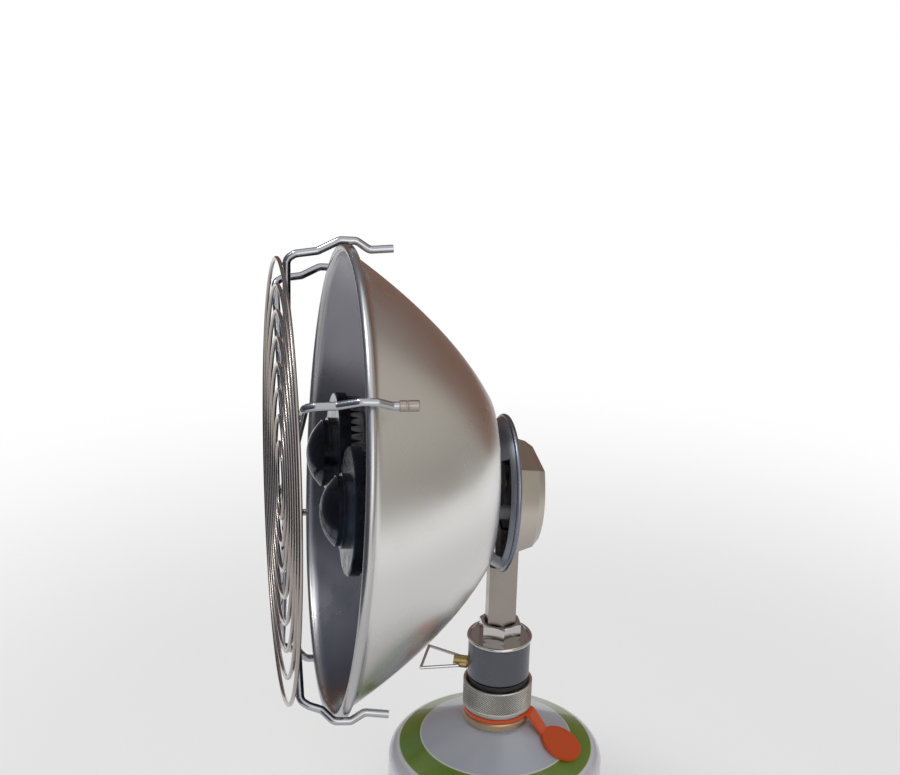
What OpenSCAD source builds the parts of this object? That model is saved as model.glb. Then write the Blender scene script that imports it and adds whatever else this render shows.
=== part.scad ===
// Gas heater: twin burner bowl heater on a screw cartridge.
// Millimetres. Z is up, the heater faces -Y, the origin is the centre of the cartridge's base.

/* [Cartridge] */
// Radius of the gas cartridge
can_r = 55; // [54:0.5:56]
// Thickness of the cartridge's steel sheet
can_sheet = 0.6; // [0.5:0.1:0.7]
// Height where the straight side ends
shoulder_z = 56.5; // [55.5:0.5:57.5]
// Radius of the rounded shoulder
shoulder_r = 8; // [7:0.5:9]
// Slope of the dished top in degrees
dome_slope = 26; // [25:0.5:27]
// Height of the valve cup's rim underside
cup_z = 82; // [81.5:0.1:82.5]
// Radius of the valve cup's rolled rim
cup_r = 17.4; // [17.3:0.1:17.5]
// Height of the rolled rim
cup_rim_h = 4; // [3.8:0.1:4.2]
// Radius of the threaded boss
boss_r = 5.55; // [5.4:0.05:5.6]
// Radius of the boss's gas hole
boss_hole_r = 2.5; // [2.3:0.1:2.7]
// Radius of the cartridge's valve pin
pin_r = 1.5; // [1.3:0.1:1.6]
// How far the pin is pushed down to open
pin_travel = 1.5; // [1:0.1:2]
// Radius of the concave base's raised panel
base_r = 44; // [42:0.5:45]
// Height of the raised panel
base_z = 8; // [7:0.5:9]

/* [Cap strap] */
// Thickness of the plastic strap and cap
strap_t = 2; // [1.8:0.1:2.2]
// Width of the strap
strap_w = 7.5; // [6:0.5:9]
// Direction of the strap in degrees from +X
strap_turn = 60; // [40:5:80]
// Radius of the round cap
cap_r = 11; // [10:0.5:11.5]
// Distance of the cap from the cartridge's axis
cap_reach = 34.7; // [34:0.1:36]

/* [Valve] */
// Radius of the knurled collar
collar_r = 17.5; // [17:0.1:18]
// Height of the knurled collar
collar_h = 15; // [14.5:0.1:15.5]
// Height of the black neck ring
neck_h = 2.5; // [2:0.1:3]
// Radius of the valve body
body_r = 15.6; // [15.2:0.1:16]
// Height of the valve body
body_h = 20.9; // [20:0.1:22]
// Radius of the body's lower spigot
spigot_r = 9; // [8.5:0.1:9.5]
// Radius of the top plate
plate_r = 16.5; // [16:0.1:17]
// Thickness of the top plate's sheet
plate_t = 1; // [0.8:0.1:1.2]
// Width across flats of the nut
nut_af = 19; // [18:0.5:20]
// Height of the nut
nut_h = 9.1; // [8.5:0.1:9.5]

/* [Valve spindle and handle] */
// Height of the spindle above the body's underside
spindle_up = 4.2; // [4.1:0.1:5]
// Turn of the spindle from the front in degrees
spindle_turn = 20; // [10:1:30]
// Radius of the spindle's shaft
spindle_r = 1.9; // [1.8:0.05:2]
// Radius of the gland nut
gland_r = 3.4; // [3.2:0.1:3.5]
// Radius of the spindle's round end
spindle_end_r = 3.2; // [3:0.1:3.4]
// Distance of the handle's hinge from the body's axis
hinge_reach = 20; // [19.8:0.1:20.5]
// Radius of the handle's wire
handle_wire_r = 0.8; // [0.7:0.05:0.9]
// Length of the handle from its hinge
handle_l = 18; // [15:0.5:19]
// Half the width of the handle's far end
handle_half_w = 11; // [9:0.5:12]

/* [Stem] */
// Width across flats of the hexagonal stem
stem_af = 14; // [13.5:0.1:14.2]
// Height of the stem's top face
stem_top = 191; // [190.5:0.1:191.1]
// Radius of the gas way through the stem
gas_r = 1.5; // [1.2:0.1:1.8]

/* [Head] */
// Depth position of the reflector's rim centre
head_y = -84.4; // [-84.8:0.1:-84]
// Height of the reflector's rim centre above the stem's top
head_up = 27.7; // [27.6:0.1:28.5]
// Upward tilt of the head in degrees
head_tilt = 4; // [3.8:0.1:4.2]
// Outer radius of the reflector's rolled rim
bowl_r = 114; // [110:0.5:116]
// Depth of the reflector's parabola
bowl_depth = 85; // [84.5:0.1:85.5]
// Depth of the reflector's flat back
bowl_back = 72; // [71.8:0.1:72.2]
// Thickness of the reflector's sheet
bowl_sheet = 0.8; // [0.6:0.1:0.9]
// Radius of the rolled edge
rim_r = 2.4; // [2.2:0.1:2.6]

/* [Back ring and housing] */
// How far the ring and housing sit below the reflector's axis
ring_drop = 5; // [4.8:0.1:5.2]
// Radius of the ring's rolled edge
ring_r = 38.5; // [38.3:0.1:38.6]
// Radius of the ring's flat hub
ring_hub_r = 31.4; // [31:0.1:31.6]
// Thickness of the ring's sheet
ring_t = 1; // [0.8:0.1:1]
// Half the length of each air slot in degrees
slot_half = 45; // [30:1:48]
// Half the width of the housing's flat top
house_top_w = 21; // [20.5:0.5:22]
// Half the width of the housing where its sides bow out
house_mid_w = 29; // [28.5:0.5:30]
// Half the width of the housing's bottom
house_low_w = 24.5; // [24:0.5:25]
// Height of the housing above the reflector's axis
house_up = 17; // [16.5:0.5:18]
// Height of the housing below the reflector's axis
house_down = 26; // [25.5:0.5:26.5]
// Depth of the housing
house_l = 14.5; // [14.2:0.1:15]
// Thickness of the housing's sheet
house_t = 1.2; // [1:0.1:1.3]

/* [Burners] */
// Half the distance between the two burners
burner_x = 32; // [31.8:0.1:34]
// Radius of the burner cap
burner_cap_r = 30; // [29.5:0.1:30.5]
// Radius of the dome
dome_r = 16; // [15:0.5:16.5]
// Height of the dome
dome_h = 7; // [6:0.5:8]
// Number of V ports in a burner
ports = 44; // [36:1:48]
// Outer radius of the mixing tube
tube_r = 9; // [8.5:0.1:9.5]
// Radius of the mixing tube's bell mouth
bell_r = 11.5; // [11:0.1:11.8]
// Radius of the mixing tube's flange
tube_flange_r = 29.5; // [28.5:0.1:30]
// Thickness of that flange
tube_flange_t = 1.5; // [1.2:0.1:1.8]
// Height of the manifold's arm
arm_h = 16; // [15:0.5:17]
// Depth of the manifold
manifold_l = 18; // [17.5:0.5:18.5]
// Radius of the manifold's bosses
manifold_r = 12; // [11.5:0.1:12.5]

/* [Guard] */
// Radius of the outer guard ring
guard_r = 105.3; // [104:0.1:106]
// Radius of the inner guard ring
guard_in_r = 18; // [16:0.5:20]
// Number of guard rings
guard_count = 8; // [6:1:9]
// Radius of the ring wire
guard_wire_r = 1; // [0.8:0.1:1.1]
// Radius of the arm wire
arm_wire_r = 1.9; // [1.6:0.1:2]
// Distance of the guard in front of the rim
guard_off = 25; // [24:0.5:27]
// Forward lean of the guard against the rim in degrees
guard_lean = 3; // [0:0.5:4]

/* [Hidden] */
$fn = 96;
// Gap of a loose seat, of a running fit and of a threaded or pushed fit
seat = 0.3;
run = 0.07;
fit = 0.1;
// Overrun of a cut past a face
cut = 1;
// Upper end of the shoulder's arc, where the dished top begins
dome_a = 90 - dome_slope;
dome_start_r = can_r - shoulder_r + shoulder_r * cos(dome_a);
dome_start_z = shoulder_z + shoulder_r * sin(dome_a);
// Cup rim, strap ring and collar stack up from here
cup_top = cup_z + cup_rim_h;
strap_z = cup_top + seat - 0.05;
collar_z = strap_z + strap_t + seat - 0.05;
collar_top = collar_z + collar_h;
body_z = collar_top + neck_h;
body_top = body_z + body_h;
nut_z = body_top + plate_t;
nut_top = nut_z + nut_h;
// The boss stands in the cup, the seal lies above it
cup_floor = cup_z - 2.5;
boss_top = cup_floor + 12.7;
seal_z = boss_top + seat;
seal_t = 1.5;
spigot_z = seal_z + seal_t;
// The outlet carries the nut and takes the foot of the stem
outlet_r = 7.1;
outlet_top = nut_top - 1.7;
stem_foot_r = 4.5;
spindle_z = body_z + spindle_up;
head_z = stem_top + head_up;
// Corner radius of a hexagon from its width across flats
function hex_r(af) = af / 2 / cos(30);
// Height of the dished top at a distance from the axis
function dome_z(r) = dome_start_z + (dome_start_r - r) * tan(dome_slope);
// Depth of the reflector's inner face at a radius, and its slope there
function bowl_s(r) = bowl_front + bowl_curve * (1 - pow(r / bowl_edge_r, 2));
function bowl_m(r) = 2 * bowl_curve * r / pow(bowl_edge_r, 2);
function bowl_out(r, t) = [r + t * bowl_m(r) / norm([1, bowl_m(r)]),
  bowl_s(r) + t / norm([1, bowl_m(r)])];
bowl_edge_r = bowl_r - 2 * rim_r + 0.5;
bowl_front = rim_r - 0.4;
bowl_curve = bowl_depth - bowl_front;
bowl_back_r = bowl_edge_r * sqrt(1 - (bowl_back - bowl_front) / bowl_curve);
bowl_hole_r = 13;
// The ring's hub lies on the reflector's back
hub_s = bowl_back + bowl_sheet;
ring_bead_r = 1.3;
ring_s = hub_s + 10.6;
house_s = ring_s + ring_bead_r + seat;
ring_in_r = 17.5;
screw_x = 21.5;
pillar_r = 3.4;
screw_r = 1.95;
screw_hole_r = 2.2;
// The jet block stands behind the ring, on the stem's upper spigot
block_s = 84.5;
block_l = 10;
block_down = 21;
stud_y = 8;
stem_pin_r = 3.2;
stem_pin_y = 2.6;
stem_step_z = stem_top - 22;
stem_step_y = -2.7;
// Burner stack along the head's axis, measured back from the rim
cap_s = 3;
cap_l = 5.5;
port_back = 15;
cup_back = 23;
manifold_s = cup_back + manifold_l / 2;
bell_s = bowl_back + 7;

// Puts a head part in place: its z runs back along the head's axis, its y points down
module head_pose() {
  translate([0, head_y, head_z]) rotate([-90 - head_tilt, 0, 0]) children();
}
// Puts a spindle part in place: its x runs outwards from the valve body's axis
module spindle_pose() {
  translate([0, 0, spindle_z]) rotate([0, 0, 270 - spindle_turn]) children();
}
// A straight round bar along local x from one distance to another
module bar_x(from, to, r) {
  translate([from, 0, 0]) rotate([0, 90, 0]) cylinder(h = to - from, r = r);
}
// A round wire between two points
module wire(a, b, r) {
  d = b - a;
  translate(a) rotate([0, acos(d[2] / norm(d)), atan2(d[1], d[0])]) cylinder(h = norm(d), r = r);
}
// A wire through a list of points, rounded at its bends
module wire_path(p, r) {
  for (i = [0 : len(p) - 2]) wire(p[i], p[i + 1], r);
  for (i = [1 : len(p) - 2]) translate(p[i]) sphere(r = r);
}
// Signed turn in degrees of a flat path at its point i, and the length that the bend there takes
function turn_at(p, i) = let (a = p[i] - p[i - 1], b = p[i + 1] - p[i])
  atan2(a[0] * b[1] - a[1] * b[0], a * b);
function bend_l(p, i, bend) = i == 0 || i == len(p) - 1 ? 0 : bend * tan(abs(turn_at(p, i)) / 2) - 0.15;
// A round wire along a flat path in the xy plane, its lengths run a little into each bend
module bent_wire(p, bend, r) {
  for (i = [0 : len(p) - 2]) {
    d = p[i + 1] - p[i];
    translate(p[i]) rotate([0, 0, atan2(d[1], d[0])])
      bar_x(bend_l(p, i, bend), norm(d) - bend_l(p, i + 1, bend), r - 0.02);
  }
  for (i = [1 : len(p) - 2]) {
    d = p[i + 1] - p[i];
    side = turn_at(p, i) > 0 ? 1 : -1;
    translate(p[i]) rotate([0, 0, atan2(d[1], d[0])]) translate([bend_l(p, i, bend) + 0.15, side * bend])
      rotate([0, 0, side > 0 ? -90 - turn_at(p, i) : 90]) rotate_extrude(angle = abs(turn_at(p, i)))
        translate([bend, 0]) circle(r = r);
  }
}
// A hexagonal bar standing on its end
module hex_bar(af, h) {
  cylinder(h = h, r = hex_r(af), $fn = 6);
}

// Drawn steel upper part of the cartridge, with a curled edge round the valve cup
function can_line(t) = concat(
  [[can_r - 1.4 - t, 2.6], [can_r - t, 6.5]],
  [for (a = [0 : 8 : dome_a]) [can_r - shoulder_r + (shoulder_r - t) * cos(a),
    shoulder_z + (shoulder_r - t) * sin(a)]]);
module can_shell() {
  neck_r = cup_r - 2;
  color([0.93, 0.93, 0.95]) rotate_extrude() {
    polygon(concat(can_line(0),
      [[neck_r, dome_z(neck_r)], [neck_r, cup_z + 2], [neck_r - can_sheet, cup_z + 2],
      [neck_r - can_sheet, dome_z(neck_r - can_sheet) - can_sheet / cos(dome_slope)]],
      [for (i = [len(can_line(0)) - 1 : -1 : 0]) can_line(can_sheet)[i]]));
    translate([neck_r + 0.1, cup_z + 1.9]) circle(r = 0.8);
  }
}

// Concave base with the seamed standing ring
module can_base() {
  seam_r = can_r - 1.1;
  color([0.75, 0.75, 0.77]) rotate_extrude()
    polygon([[0, base_z], [base_r, base_z], [seam_r - 4.4, 3], [seam_r - 3.3, 0], [seam_r - 0.3, 0],
      [seam_r, 0.8], [seam_r, 2.3], [seam_r - 2.5, 2.3], [seam_r - 3.7, 3.4],
      [base_r + 0.3, base_z + can_sheet], [0, base_z + can_sheet]]);
}

// Bronze coloured mounting cup, rolled over the shell's edge
module valve_cup() {
  wall = cup_r - 3.6;
  color([0.62, 0.5, 0.36]) rotate_extrude() {
    translate([boss_r + seat, cup_floor]) square([wall + can_sheet - boss_r - seat, can_sheet]);
    translate([wall, cup_floor]) square([can_sheet, cup_z + 1 - cup_floor]);
    difference() {
      union() {
        translate([wall, cup_z]) square([3.6, cup_rim_h - 1.4]);
        translate([wall + 1.4, cup_z]) square([0.8, cup_rim_h]);
        for (x = [1.4, 2.2]) translate([wall + x, cup_top - 1.4]) circle(r = 1.4);
      }
      translate([wall + can_sheet, cup_z - cut]) square([2.2, cup_rim_h - 0.8 + cut]);
    }
  }
}

// Threaded boss with the small valve chamber under it
module threaded_boss() {
  color([0.72, 0.7, 0.66]) difference() {
    union() {
      translate([0, 0, cup_floor - 1.8]) cylinder(h = boss_top - cup_floor + 1.8, r = boss_r);
      translate([0, 0, cup_floor - 1.8]) cylinder(h = 1.8 - seat, r = 8);
      translate([0, 0, cup_floor - 13.5]) cylinder(h = 11.7, r = 5.2);
    }
    translate([0, 0, cup_floor - 12.5]) cylinder(h = 13.9, r = 4.2);
    translate([0, 0, cup_floor]) cylinder(h = 13 + cut, r = boss_hole_r);
    translate([0, 0, cup_floor - 14.5]) cylinder(h = 3, r = 1.2);
  }
}

// Rubber ring that the pin's flange closes against
module cartridge_seal() {
  color([0.1, 0.1, 0.1]) translate([0, 0, cup_floor - 0.2]) difference() {
    cylinder(h = 1.5, r = 4.1);
    translate([0, 0, -cut]) cylinder(h = 4, r = pin_r + run);
  }
}

// Sprung valve pin, drawn closed
module cartridge_pin() {
  color([0.8, 0.7, 0.4]) union() {
    translate([0, 0, cup_floor - 1.9]) cylinder(h = 1.4, r = 3.6);
    translate([0, 0, cup_floor - 1]) cylinder(h = 7.7, r = pin_r);
  }
}

// Hidden spring under the pin, kept plain
module cartridge_spring() {
  color([0.7, 0.7, 0.7]) translate([0, 0, cup_floor - 12.3]) difference() {
    cylinder(h = 10.2, r = 3.2);
    translate([0, 0, -cut]) cylinder(h = 13, r = 2.4);
  }
}

// Plastic ring on the cup, with the strap and the round cap that lies on the dished top
module cap_strap() {
  ring_out = cup_r - 0.2;
  near = cap_reach - 5.5;
  lift = 0.6;
  color([0.88, 0.33, 0.14]) rotate([0, 0, strap_turn]) union() {
    translate([0, 0, strap_z]) difference() {
      cylinder(h = strap_t, r = ring_out);
      translate([0, 0, -cut]) cylinder(h = strap_t + 2 * cut, r = 13);
    }
    rotate([90, 0, 0]) translate([0, 0, -strap_w / 2]) linear_extrude(strap_w)
      polygon([[15, strap_z], [ring_out + 0.7, strap_z], [near - 3.6, dome_z(near - 3.6) + lift],
        [near, dome_z(near) + lift], [near + 0.6, dome_z(near + 0.6) + strap_t + 0.2],
        [near - 2.8, dome_z(near - 2.8) + strap_t + 0.3], [ring_out + 1.8, strap_z + strap_t - 0.6],
        [ring_out + 0.6, strap_z + strap_t], [15, strap_z + strap_t]]);
    translate([cap_reach, 0, dome_z(cap_reach)]) rotate([0, dome_slope, 0])
      translate([0, 0, seat]) cylinder(h = strap_t, r = cap_r);
  }
}

// Knurled aluminium collar that screws on the boss
module connector_collar() {
  color([0.8, 0.79, 0.77]) rotate_extrude()
    polygon([[boss_r + run, collar_z - 5.5], [12.2, collar_z - 5.5], [12.2, collar_z],
      [collar_r - 0.5, collar_z], [collar_r, collar_z + 0.5], [collar_r, collar_z + 1.8],
      [collar_r - 0.4, collar_z + 2], [collar_r - 0.4, collar_z + 2.6], [collar_r, collar_z + 2.8],
      [collar_r, collar_top - 0.5], [collar_r - 0.5, collar_top], [spigot_r + fit, collar_top],
      [spigot_r + fit, seal_z], [boss_r + run, seal_z]]);
}

// Rubber washer between the boss and the valve body
module connector_seal() {
  color([0.08, 0.08, 0.08]) translate([0, 0, seal_z]) difference() {
    cylinder(h = seal_t, r = spigot_r - fit);
    translate([0, 0, -cut]) cylinder(h = seal_t + 2 * cut, r = 3);
  }
}

// Pin in the valve body that opens the cartridge's valve
module pin_pusher() {
  color([0.8, 0.7, 0.4]) union() {
    translate([0, 0, cup_floor + 7]) cylinder(h = spigot_z - cup_floor - 6.5, r = 1.2);
    translate([0, 0, spigot_z + 0.2]) hex_bar(3.6, 4);
  }
}

// Black ring between the collar and the valve body
module neck_ring() {
  color([0.1, 0.1, 0.11]) translate([0, 0, collar_top]) difference() {
    cylinder(h = neck_h, r = body_r - 0.4);
    translate([0, 0, -cut]) cylinder(h = neck_h + 2 * cut, r = spigot_r + fit);
  }
}

// Valve body with its gas ways, the spindle's bore and the threaded outlet
module valve_body() {
  color([0.27, 0.29, 0.33]) difference() {
    rotate_extrude()
      polygon([[0, spigot_z], [spigot_r, spigot_z], [spigot_r, body_z], [body_r - 1.2, body_z],
        [body_r, body_z + 1.2], [body_r, body_top - 0.4], [body_r - 0.4, body_top],
        [outlet_r, body_top], [outlet_r, outlet_top], [0, outlet_top]]);
    translate([0, 0, spigot_z - cut]) cylinder(h = spindle_z - spigot_z + cut, r = 2.2);
    translate([0, 0, spindle_z]) cylinder(h = 20, r = 1.4);
    translate([0, 0, body_top + 1]) cylinder(h = 20, r = stem_foot_r + fit);
    spindle_pose() bar_x(0, 12, 2.58);
    spindle_pose() bar_x(9.8, body_r + 3, gland_r + fit);
  }
}

// Packing round the spindle
module gland_packing() {
  color([0.12, 0.12, 0.12]) spindle_pose() difference() {
    bar_x(9.8, 11.4, gland_r);
    bar_x(9, 12, spindle_r + run);
  }
}

// Round gland nut, screwed in flush with the body
module gland_nut() {
  color([0.78, 0.66, 0.36]) spindle_pose() difference() {
    bar_x(11.5, 14.7, gland_r);
    bar_x(11, 16, spindle_r + run);
  }
}

// Brass needle spindle with the cross hole for the handle
module valve_spindle() {
  color([0.74, 0.6, 0.32]) spindle_pose() difference() {
    union() {
      translate([2, 0, 0]) rotate([0, 90, 0]) cylinder(h = 2.5, r1 = 0.3, r2 = spindle_r);
      bar_x(4.5, 17, spindle_r);
      bar_x(5.5, 9.4, 2.5);
      bar_x(body_r + seat, hinge_reach + 2.8, spindle_end_r);
    }
    translate([hinge_reach, 0, 0]) rotate([90, 0, 0]) translate([0, 0, -5])
      cylinder(h = 10, r = handle_wire_r + run);
  }
}

// Bent wire handle, hooked into the spindle's end from both sides
module wire_handle() {
  side = spindle_end_r + handle_wire_r + 0.6;
  far = hinge_reach + handle_l;
  color([0.72, 0.72, 0.72]) spindle_pose()
    wire_path([[hinge_reach, 1.2, 0], [hinge_reach, side, 0], [far, handle_half_w, 0],
      [far, -handle_half_w, 0], [hinge_reach, -side, 0], [hinge_reach, -1.2, 0]], handle_wire_r);
}

// Chromed plate with a rolled edge, held by the nut
module top_plate() {
  color([0.85, 0.85, 0.86]) rotate_extrude() {
    translate([outlet_r + fit, body_top]) square([plate_r - 1 - outlet_r - fit, plate_t]);
    translate([plate_r - 1, body_top + 1]) circle(r = 1);
  }
}

// Chamfered nut on the outlet
module stem_nut() {
  corner = hex_r(nut_af);
  color([0.8, 0.8, 0.82]) difference() {
    intersection() {
      translate([0, 0, nut_z]) hex_bar(nut_af, nut_h);
      rotate_extrude()
        polygon([[0, nut_z], [corner - 0.8, nut_z], [corner + 0.2, nut_z + 0.6],
          [corner + 0.2, nut_top - 1], [corner - 1.4, nut_top], [0, nut_top]]);
    }
    translate([0, 0, nut_z - cut]) cylinder(h = nut_h + 2 * cut, r = outlet_r + fit);
    translate([0, 0, outlet_top]) cylinder(h = 5, r = hex_r(stem_af) + fit);
  }
}

// Hexagonal gas stem, cut back at the top where the ring passes in front of it
module stem() {
  color([0.66, 0.6, 0.55]) difference() {
    union() {
      translate([0, 0, outlet_top]) hex_bar(stem_af, stem_top - outlet_top);
      translate([0, 0, body_top + 1.3]) cylinder(h = outlet_top - body_top, r = stem_foot_r);
      translate([0, stem_pin_y, stem_top - cut]) cylinder(h = 9 + cut, r = stem_pin_r);
    }
    translate([-20, -40 + stem_step_y, stem_step_z]) cube([40, 40, 30]);
    translate([0, 1.6, body_top]) cylinder(h = stem_top + 10 - body_top, r = gas_r);
  }
}

// Cast block on the stem: holds the jet, the ring's screws and the housing's stud
module jet_block() {
  color([0.6, 0.56, 0.5]) difference() {
    head_pose() difference() {
      union() {
        translate([-6, -7, block_s]) cube([12, 7 + block_down, block_l]);
        translate([-screw_x - pillar_r, ring_drop - 5, block_s + 1.5])
          cube([2 * (screw_x + pillar_r), 10, 3.5]);
        for (x = [-screw_x, screw_x]) translate([x, ring_drop, hub_s + ring_t])
          cylinder(h = block_s + 5 - hub_s - ring_t, r = pillar_r);
        translate([0, stud_y, block_s + block_l - cut])
          cylinder(h = house_s + house_l - house_t - block_s - block_l + cut, r = 5);
      }
      translate([0, 0, block_s - cut]) cylinder(h = 8, r = 2.6);
      translate([0, 0, block_s + 5]) rotate([-90, 0, 0]) cylinder(h = block_down - 4, r = gas_r);
      for (x = [-screw_x, screw_x]) translate([x, ring_drop, hub_s]) cylinder(h = 12, r = screw_r + fit);
      translate([0, stud_y, house_s + house_l - 9.5]) cylinder(h = 12, r = screw_r + fit);
    }
    translate([0, stem_pin_y, stem_top - 5]) cylinder(h = 14.3, r = stem_pin_r + fit);
  }
}

// Brass jet, pointing forwards into the mixing tube
module jet() {
  color([0.78, 0.66, 0.36]) head_pose() difference() {
    union() {
      translate([0, 0, block_s - 0.2]) cylinder(h = 5, r = 2.5);
      translate([0, 0, block_s - 2.7]) hex_bar(6, 2.5);
      translate([0, 0, block_s - 4]) cylinder(h = 1.5, r1 = 1.2, r2 = 2.2);
    }
    translate([0, 0, block_s - 2]) cylinder(h = 8, r = 1.2);
    translate([0, 0, block_s - 5]) cylinder(h = 5, r = 0.35);
  }
}

// Pressed cover behind the reflector: flat top and bottom, bowed sides, narrower at the back
function bow(t, a, m, b) = a * (1 - t) * (1 - 2 * t) + 4 * m * t * (1 - t) + b * t * (2 * t - 1);
module house_slab(back, inset, edge) {
  up = house_up - 0.18 * back - inset - edge / 2;
  down = house_down - 0.22 * back - inset - edge;
  less = 0.33 * back + inset + edge;
  half = [for (t = [0 : 0.03125 : 1]) [bow(t, house_top_w - less, house_mid_w - less, house_low_w - less),
    t * (up + down) - up]];
  translate([0, 0, house_s + back - 0.02]) linear_extrude(0.02)
    polygon(concat(half, [for (i = [len(half) - 1 : -1 : 0]) [-half[i][0], half[i][1]]]));
}
module house_solid(inset) {
  hull() {
    house_slab(inset > 0 ? -0.1 : 0, inset, 0);
    house_slab(house_l - 3.5, inset, 0);
    house_slab(house_l - inset, inset, 2);
  }
}
module rear_housing() {
  color([0.6, 0.55, 0.5]) difference() {
    head_pose() difference() {
      house_solid(0);
      house_solid(house_t);
      translate([0, stud_y, house_s + house_l - 3]) cylinder(h = 5, r = screw_hole_r);
    }
    translate([0, 0, stem_top - 20]) hex_bar(stem_af + 0.7, 25);
  }
}

// Screw through the housing's back into the block's stud
module cover_screw() {
  color([0.7, 0.7, 0.72]) head_pose() translate([0, stud_y, house_s + house_l]) difference() {
    union() {
      cylinder(h = 2.4, r = 3.8);
      translate([0, 0, -8]) cylinder(h = 8.5, r = screw_r);
    }
    for (a = [0, 90]) rotate([0, 0, a]) translate([-2.2, -0.45, 1.2]) cube([4.4, 0.9, 3]);
  }
}

// Pressed ring with a rolled edge and two air slots
module flange_ring() {
  slope = [ring_r - 0.9 - ring_hub_r, ring_s - 0.8 - hub_s];
  side = [-slope[1], slope[0]] * ring_t / norm(slope);
  hub = [ring_hub_r, hub_s];
  edge = [ring_r - 0.9, ring_s - 0.8];
  color([0.36, 0.38, 0.44]) head_pose() translate([0, ring_drop, 0]) difference() {
    rotate_extrude() {
      polygon([[ring_in_r, hub_s], hub, edge, edge + side, hub + side + (ring_t - side[1]) / slope[1] * slope,
        [ring_in_r, hub_s + ring_t]]);
      translate([ring_r - ring_bead_r, ring_s]) circle(r = ring_bead_r);
    }
    for (m = [0, 1]) mirror([m, 0, 0]) rotate([0, 0, -7 - slot_half]) rotate_extrude(angle = 2 * slot_half)
      translate([29, hub_s + 1.8]) square([11, 5.2]);
    for (x = [-screw_x, screw_x]) translate([x, 0, hub_s - cut]) cylinder(h = 4, r = screw_hole_r);
  }
}

// Two screws that clamp the tube's flange, the reflector and the ring on the block
module flange_screws() {
  color([0.7, 0.7, 0.72]) head_pose()
    for (x = [-screw_x, screw_x]) translate([x, ring_drop, bowl_back - tube_flange_t]) difference() {
      union() {
        translate([0, 0, -2.5]) cylinder(h = 2.5, r = 3.6);
        translate([0, 0, -0.5]) cylinder(h = 12.5, r = screw_r);
      }
      for (a = [0, 90]) rotate([0, 0, a]) translate([-2.2, -0.45, -4]) cube([4.4, 0.9, 2.8]);
    }
}

// Spun reflector: parabola with a flat back and a rolled edge
module reflector() {
  steps = 22;
  rs = [for (i = [0 : steps]) bowl_back_r + (bowl_edge_r - bowl_back_r) * i / steps];
  color([0.82, 0.81, 0.8]) head_pose() difference() {
    rotate_extrude($fn = 180) {
      polygon(concat([[bowl_hole_r, bowl_back]], [for (r = rs) [r, bowl_s(r)]],
        [for (i = [steps : -1 : 0]) bowl_out(rs[i], bowl_sheet)],
        [[bowl_back_r, hub_s], [bowl_hole_r, hub_s]]));
      translate([bowl_r - rim_r, rim_r - 0.2]) circle(r = rim_r);
    }
    for (x = [-screw_x, screw_x]) translate([x, ring_drop, bowl_back - cut])
      cylinder(h = 4, r = screw_hole_r);
  }
}

// Mixing tube with a bell mouth and the flange that lies in the reflector's back
module mixing_tube() {
  wall = 1.2;
  color([0.55, 0.53, 0.5]) head_pose() difference() {
    rotate_extrude()
      polygon([[tube_r - wall, manifold_s + 7], [tube_r, manifold_s + 7],
        [tube_r, bowl_back - tube_flange_t], [tube_flange_r, bowl_back - tube_flange_t],
        [tube_flange_r, bowl_back], [tube_r, bowl_back], [tube_r, bell_s],
        [bell_r, bell_s + 3], [bell_r - wall, bell_s + 3], [tube_r - wall, bell_s]]);
    for (x = [-screw_x, screw_x]) translate([x, ring_drop, bowl_back - 3]) cylinder(h = 5, r = screw_hole_r);
  }
}

// Cast T that feeds both burners, with a pillar in each branch for the burner's screw
module manifold() {
  inner_l = 2 * burner_x - 8.4;
  wall = 2.5;
  color([0.42, 0.42, 0.44]) head_pose() difference() {
    union() {
      translate([-burner_x, -arm_h / 2, cup_back + 1]) cube([2 * burner_x, arm_h, manifold_l - 2]);
      for (x = [-burner_x, burner_x]) translate([x, 0, cup_back]) cylinder(h = manifold_l, r = manifold_r);
      translate([0, 0, manifold_s + 1]) cylinder(h = manifold_l - 2, r = tube_r + 2.6);
    }
    translate([-inner_l / 2, wall - arm_h / 2, cup_back + 1 + wall])
      cube([inner_l, arm_h - 2 * wall, manifold_l - 2 - 2 * wall]);
    for (x = [-burner_x, burner_x]) translate([x, 0, cup_back - cut]) difference() {
      cylinder(h = manifold_l - 2 + cut, r = manifold_r - 4);
      translate([0, 0, -cut]) cylinder(h = manifold_l + 2 * cut, r = 3.4);
    }
    translate([0, 0, manifold_s + 7]) cylinder(h = 12, r = tube_r + fit);
    translate([0, 0, manifold_s]) cylinder(h = 12, r = 5);
    for (x = [-burner_x, burner_x]) translate([x, 0, cup_back - cut]) cylinder(h = 10, r = screw_r + fit);
  }
}

// Burner cup with V ports round its edge
module burner_cup(side) {
  out = burner_cap_r - 1.5;
  color([0.5, 0.5, 0.52]) head_pose() translate([side * burner_x, 0, 0]) difference() {
    rotate_extrude()
      polygon([[out - 1.2, cap_s + 2.2], [out, cap_s + 2.2], [out, port_back], [13, cup_back - 1.5],
        [12, cup_back], [8, cup_back], [8, cup_back - 1.4], [12, cup_back - 2.4],
        [out - 1.2, port_back - 0.6]]);
    for (i = [0 : ports - 1]) rotate([0, 0, (i + 0.5) * 360 / ports]) translate([out - 4, 0, 0])
      rotate([90, 0, 90]) linear_extrude(7)
        polygon([[-1.7, cap_s + 1], [1.7, cap_s + 1], [1.6, cap_s + 3], [0.2, port_back - 1.8],
          [-0.2, port_back - 1.8], [-1.6, cap_s + 3]]);
  }
}
module left_burner_cup() {
  burner_cup(-1);
}
module right_burner_cup() {
  burner_cup(1);
}

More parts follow.
